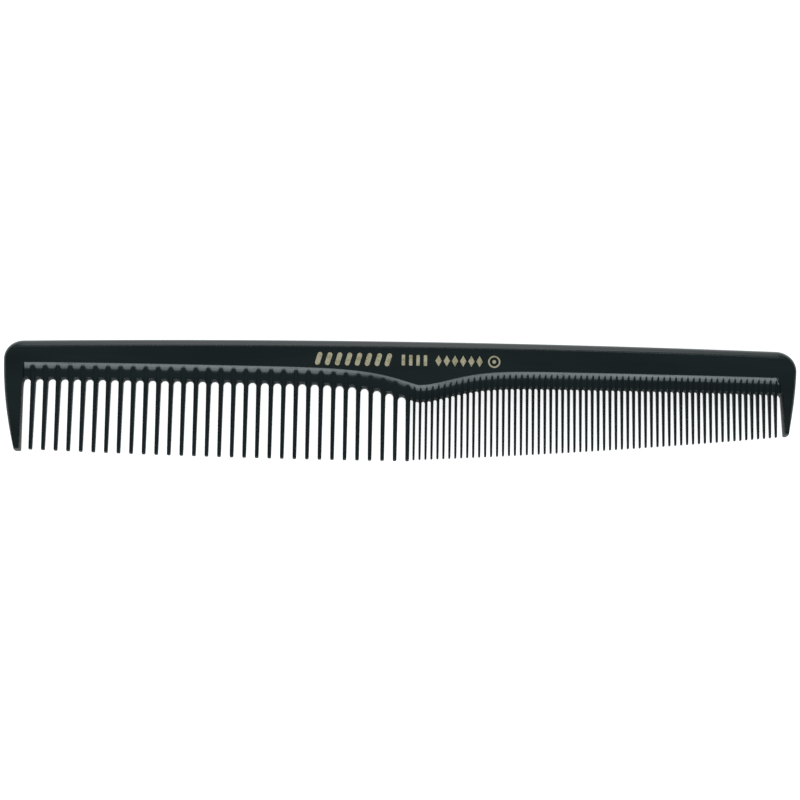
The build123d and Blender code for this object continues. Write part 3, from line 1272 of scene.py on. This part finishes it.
@dataclass(frozen=True)
class MouldedAcetal:
    """Black acetal, injection moulded in polished steel (pattern sizes and heights in mm)."""

    name: str = "acetal_black_moulded"
    pigment: str = "#131b1c"            # carbon black in a slightly blue-green resin: near black, never flat
    flow: str = "#182325"               # the resin shows a little paler along the lines it flowed in
    dust: str = "#6e7472"               # grey specks
    refraction: float = 1.48            # acetal
    polished: float = 0.15
    dull: float = 0.25
    slot_wall: float = 0.42             # added on the sides, which the mould's unpolished slots leave duller
    hairline_dulling: float = 0.12
    dust_dulling: float = 0.4
    flow_size: Triple = (38, 7, 20)       # long soft streaks, which break up the reflections of the lights
    peel_size: Triple = (1.9, 1.5, 1.9)   # orange peel of a skin that shrank as it set: highlights waver
    peel_height: float = 0.0016
    grain_size: Triple = (0.16, 0.16, 0.16)
    grain_height: float = 0.0002
    hairline_size: Triple = (9, 0.11, 0.4)    # from wiping and from a pocket, drawn coarser than real ones
    hairline_depth: float = 0.0004
    speck_spacing: Triple = (2.3, 2.3, 2.3)   # dust held by static
    patch_size: Triple = (11, 11, 11)     # the patches that the dust keeps to

    def build(self) -> bpy.types.Material:
        """Makes the material.

        Returns:
            The material.
        """
        material, tree = blank_material(self.name)
        flow = add_node(tree, "TexNoise", vector=pattern_place(tree, self.flow_size), scale=1.0, detail=3.0)
        peel = add_node(tree, "TexNoise", vector=pattern_place(tree, self.peel_size), scale=1.0, detail=2.0)
        grain = add_node(tree, "TexNoise", vector=pattern_place(tree, self.grain_size), scale=1.0, detail=2.0)
        wiping = add_node(tree, "TexNoise", vector=pattern_place(tree, self.hairline_size), scale=1.0,
                          detail=1.0)
        hairlines = add_node(tree, "MapRange", value=wiping, from_min=0.66, from_max=0.72)
        dusty = self._dust(tree)

        streaks = add_node(tree, "MapRange", value=flow, from_min=0.35, from_max=0.7)
        resin = add_node(tree, "Mix", {"data_type": "RGBA"}, _0=streaks, _6=linear(self.pigment),
                         _7=linear(self.flow))
        colour = add_node(tree, "Mix", {"data_type": "RGBA"}, _0=dusty, _6=resin.outputs[2],
                          _7=linear(self.dust))

        gloss = add_node(tree, "MapRange", value=flow, from_min=0.3, from_max=0.7, to_min=self.polished,
                         to_max=self.dull)
        for marks, dulling in ((hairlines, self.hairline_dulling), (dusty, self.dust_dulling)):
            gloss = add_node(tree, "Math", {"operation": "MULTIPLY_ADD"}, _0=marks, _1=dulling, _2=gloss)
        gloss = add_node(tree, "Math", {"operation": "ADD"}, _0=gloss, _1=self._slot_walls(tree))

        height = add_node(tree, "Math", {"operation": "MULTIPLY"}, _0=peel, _1=self.peel_height)
        for marks, rise in ((grain, self.grain_height), (hairlines, -self.hairline_depth)):
            height = add_node(tree, "Math", {"operation": "MULTIPLY_ADD"}, _0=marks, _1=rise, _2=height)
        bump = add_node(tree, "Bump", strength=1.0, distance=MM, height=height)

        shader = add_node(tree, "BsdfPrincipled", base_color=colour.outputs[2], roughness=gloss,
                          ior=self.refraction, normal=bump)
        add_node(tree, "OutputMaterial", surface=shader)
        return material

    def _dust(self, tree: bpy.types.NodeTree) -> bpy.types.Node:
        """Scatters a few specks of dust, in patches.

        Args:
            tree: The node tree.

        Returns:
            The node that gives 1 on a speck and 0 elsewhere.
        """
        places = add_node(tree, "TexVoronoi", vector=pattern_place(tree, self.speck_spacing), scale=1.0)
        specks = add_node(tree, "MapRange", value=places, from_min=0.025, from_max=0.045, to_min=1.0,
                          to_max=0.0)
        cloud = add_node(tree, "TexNoise", vector=pattern_place(tree, self.patch_size), scale=1.0, detail=3.0)
        patches = add_node(tree, "MapRange", value=cloud, from_min=0.55, from_max=0.62)
        return add_node(tree, "Math", {"operation": "MULTIPLY"}, _0=specks, _1=patches)

    def _slot_walls(self, tree: bpy.types.NodeTree) -> bpy.types.Node:
        """Finds the sides that face along the comb or towards the tips.

        Args:
            tree: The node tree.

        Returns:
            The node that gives the roughness to add there.
        """
        facing = add_node(tree, "SeparateXYZ", vector=add_node(tree, "TexCoord").outputs["Normal"])
        along = add_node(tree, "Math", {"operation": "ABSOLUTE"}, _0=facing.outputs["X"])
        forward = add_node(tree, "Math", {"operation": "SUBTRACT"}, _0=-0.15, _1=facing.outputs["Y"])
        sideways = add_node(tree, "Math", {"operation": "MAXIMUM"}, _0=along, _1=forward)
        return add_node(tree, "MapRange", value=sideways, from_min=0.35, from_max=0.75, to_max=self.slot_wall)


@dataclass(frozen=True)
class StampedFoil:
    """Pale gold foil, pressed into the face with a hot die (pattern sizes and heights in mm)."""

    name: str = "gold_foil_hot_stamped"
    bright: str = "#f6e2c2"             # aluminium under a yellow lacquer: paler than real gold
    worn: str = "#b4a57f"               # where the lacquer has rubbed thin
    smooth: float = 0.36
    rough: float = 0.52
    cloud_size: Triple = (2.6, 1.6, 2.0)  # the die presses unevenly, so the foil is patchy
    mottle_size: Triple = (0.3, 0.3, 0.3)     # rubbed lacquer, and creases from cooling
    cloud_share: float = 0.55
    crease_height: float = 0.01

    def build(self) -> bpy.types.Material:
        """Makes the material.

        Returns:
            The material.
        """
        material, tree = blank_material(self.name)
        cloud = add_node(tree, "TexNoise", vector=pattern_place(tree, self.cloud_size), scale=1.0, detail=3.0)
        mottle = add_node(tree, "TexNoise", vector=pattern_place(tree, self.mottle_size), scale=1.0,
                          detail=4.0)
        wear = add_node(tree, "Math", {"operation": "MULTIPLY"}, _0=cloud, _1=self.cloud_share)
        wear = add_node(tree, "Math", {"operation": "MULTIPLY_ADD"}, _0=mottle, _1=1 - self.cloud_share,
                        _2=wear)
        worn = add_node(tree, "MapRange", value=wear, from_min=0.44, from_max=0.62)
        colour = add_node(tree, "Mix", {"data_type": "RGBA"}, _0=worn, _6=linear(self.bright),
                          _7=linear(self.worn))
        gloss = add_node(tree, "MapRange", value=wear, from_min=0.35, from_max=0.65, to_min=self.smooth,
                         to_max=self.rough)
        creases = add_node(tree, "Math", {"operation": "MULTIPLY"}, _0=mottle, _1=self.crease_height)
        bump = add_node(tree, "Bump", strength=1.0, distance=MM, height=creases)
        shader = add_node(tree, "BsdfPrincipled", base_color=colour.outputs[2], metallic=1.0, roughness=gloss,
                          normal=bump)
        add_node(tree, "OutputMaterial", surface=shader)
        return material


@dataclass(frozen=True)
class LitTable:
    """White acrylic sheet of a light table, glowing evenly (pattern size in mm)."""

    name: str = "light_table_acrylic"
    sheet: str = "#f4f4f4"
    cloud: str = "#f7f7f7"              # opal acrylic is clouded very faintly
    cloud_size: Triple = (60, 60, 60)
    matt: float = 0.6
    glow: str = "#ffffff"
    glow_strength: float = 0.82

    def build(self) -> bpy.types.Material:
        """Makes the material.

        Returns:
            The material.
        """
        material, tree = blank_material(self.name)
        cloud = add_node(tree, "TexNoise", vector=pattern_place(tree, self.cloud_size), scale=1.0, detail=3.0)
        clouded = add_node(tree, "MapRange", value=cloud, from_min=0.4, from_max=0.6)
        colour = add_node(tree, "Mix", {"data_type": "RGBA"}, _0=clouded, _6=linear(self.sheet),
                          _7=linear(self.cloud))
        shader = add_node(tree, "BsdfPrincipled", base_color=colour.outputs[2], roughness=self.matt,
                          emission_color=linear(self.glow), emission_strength=self.glow_strength)
        add_node(tree, "OutputMaterial", surface=shader)
        return material


# ------------------------------------------------------------------------------------------------ building
@dataclass
class Workshop:
    """Turns closed pieces into dressed Blender objects that ride on the part."""

    middle: float               # height of the parting plane (mm)
    finishes: dict[Slot, bpy.types.Material]

    def place(self, solid: Solid, normals: SurfaceNormals | None, slot: Slot) -> bpy.types.Object:
        """Makes the object of a piece and ties it to the frame.

        Args:
            solid: The piece.
            normals: Normals for its smooth faces.
            slot: The material slot it takes its finish from.

        Returns:
            The object.
        """
        name = f"comb_{solid.name}"
        mesh = bpy.data.meshes.new(name)
        vertices = (solid.points + (0, 0, self.middle)) * MM
        mesh.from_pydata(vertices.tolist(), [], solid.soft + solid.hard)
        mesh.update()
        if normals is not None:
            blended = normals.at(solid.points)
            flat = [polygon.normal.copy() for polygon in mesh.polygons]
            mesh.shade_smooth()
            corners = [blended[i] for face in solid.soft for i in face]
            corners += [flat[len(solid.soft) + n] for n, face in enumerate(solid.hard) for _ in face]
            mesh.normals_split_custom_set([tuple(normal) for normal in corners])
        mesh.materials.append(self.finishes[slot])
        piece = bpy.data.objects.new(name, mesh)
        bpy.context.scene.collection.objects.link(piece)
        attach(piece, BODY)
        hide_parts(*solid.nodes)
        log.info("%s: %d points, %d faces, stands for %s", piece.name, len(solid.points),
                 len(mesh.polygons), ", ".join(solid.nodes))
        return piece


@dataclass(frozen=True)
class Softbox:
    """A rectangular softbox, aimed at the comb (m)."""

    name: str
    place: Triple
    size: Pair
    radiance: float
    tint: str = "#e9f5f8"       # daylight tubes

    def build(self) -> bpy.types.Object:
        """Makes the light.

        Returns:
            The light's object.
        """
        light = bpy.data.lights.new(self.name, "AREA")
        light.shape = "RECTANGLE"
        light.size, light.size_y = self.size
        light.color = linear(self.tint)[:3]
        light.energy = self.radiance * np.pi * self.size[0] * self.size[1]
        lamp = bpy.data.objects.new(self.name, light)
        away = Vector(self.place).normalized()
        up = away.cross(Vector((1, 0, 0))).normalized()
        turn = Matrix((up.cross(away), up, away)).transposed().to_4x4()
        lamp.matrix_world = Matrix.Translation(Vector(self.place)) @ turn
        bpy.context.scene.collection.objects.link(lamp)
        log.info("%s: radiance %.2f, %.1f W", self.name, self.radiance, light.energy)
        return lamp


@dataclass
class Studio:
    """A light table with softboxes, under a camera that looks almost straight down (m, degrees)."""

    target: Triple = (-0.0003, 0.00024, 0.0022)
    distance: float = 0.4993
    tilt: float = 10.377        # the camera leans towards the teeth
    lean: float = 1.259         # and towards the coarse end
    roll: float = 0.889
    lens: float = 96.98         # mm
    sensor: float = 36.0        # mm
    room: str = "#d3e7ea"
    room_light: float = 0.25
    table_size: float = 4.0
    softboxes: tuple[Softbox, ...] = (
        Softbox("softbox_front", place=(0.0, -0.64, 0.84), size=(0.7, 0.34), radiance=3.6),
        Softbox("strip_front", place=(0.0, -0.665, 0.765), size=(0.7, 0.09), radiance=5.5),
        Softbox("softbox_behind", place=(0.0, 0.66, 0.80), size=(0.8, 0.20), radiance=6.0),
    )

    def build(self, table: bpy.types.Material) -> None:
        """Makes the table, the lights, the room and the camera.

        Args:
            table: The table's finish.
        """
        self._table(table)
        for softbox in self.softboxes:
            softbox.build()
        world = bpy.data.worlds.new("studio_room")
        world.use_nodes = True
        world.node_tree.nodes.clear()
        room = add_node(world.node_tree, "Background", color=linear(self.room), strength=self.room_light)
        add_node(world.node_tree, "OutputWorld", surface=room)
        scene = bpy.context.scene
        scene.world = world
        scene.view_settings.view_transform = "Standard"
        self._camera()

    def _table(self, finish: bpy.types.Material) -> None:
        """Lays the table top under the comb.

        Args:
            finish: Its finish.
        """
        half = self.table_size / 2
        mesh = bpy.data.meshes.new("table")
        corners = [(-half, -half, 0), (half, -half, 0), (half, half, 0), (-half, half, 0)]
        mesh.from_pydata(corners, [], [(0, 1, 2, 3)])
        mesh.materials.append(finish)
        table = bpy.data.objects.new("table", mesh)
        bpy.context.scene.collection.objects.link(table)

    def _camera(self) -> None:
        """Sets up the camera, which leans towards the teeth and is turned a little about its own axis."""
        tilt, lean, roll = np.radians([self.tilt, self.lean, self.roll])
        back = np.array([-np.sin(lean) * np.cos(tilt), -np.sin(tilt), np.cos(tilt) * np.cos(lean)])
        back /= np.linalg.norm(back)
        right = np.cross((0, 1, 0), back)
        right /= np.linalg.norm(right)
        up = np.cross(back, right)
        right, up = (np.cos(roll) * right + np.sin(roll) * up, np.cos(roll) * up - np.sin(roll) * right)
        camera = bpy.data.cameras.new("camera")
        camera.lens, camera.sensor_width = self.lens, self.sensor
        camera.clip_start, camera.clip_end = 0.01, 20
        eye = bpy.data.objects.new("camera", camera)
        turn = Matrix([right, up, back]).transposed().to_4x4()
        eye.matrix_world = Matrix.Translation(Vector(np.array(self.target) + self.distance * back)) @ turn
        bpy.context.scene.collection.objects.link(eye)
        bpy.context.scene.camera = eye


def foil_marks(line: float = 9.25) -> list[FoilMark]:
    """Sets out the groups of foil marks, from the coarse end.

    Args:
        line: Y of the line that their middles lie on.

    Returns:
        The groups.
    """
    return [
        Slash("foil_slashes", count=8, pitch=2.3, first=-19.3, line=line),
        Bar("foil_bars", count=4, pitch=1.7, first=0.3, line=line),
        Lozenge("foil_lozenges", count=6, pitch=1.9, first=8.45, line=line),
        RingAndDot("foil_ring", count=1, pitch=0.0, first=21.35, line=line),
    ]


def main() -> None:
    """Builds the comb, piece by piece, and the studio round it."""
    logging.basicConfig(level=logging.INFO, format="%(message)s")
    shape = CombShape()
    stamps = [FoilStamp(mark, shape.half) for mark in foil_marks()]
    solids = Moulding(shape, Rows(), stamps).solids()
    normals = SurfaceNormals.of(solids)
    finishes = {Slot.ACETAL: MouldedAcetal().build(), Slot.FOIL: StampedFoil().build()}
    workshop = Workshop(shape.middle, finishes)
    for solid in solids:
        workshop.place(solid, normals, Slot.ACETAL)
    for stamp in stamps:
        workshop.place(stamp.foil(), None, Slot.FOIL)
    Studio().build(LitTable().build())


if __name__ == "__main__":
    main()
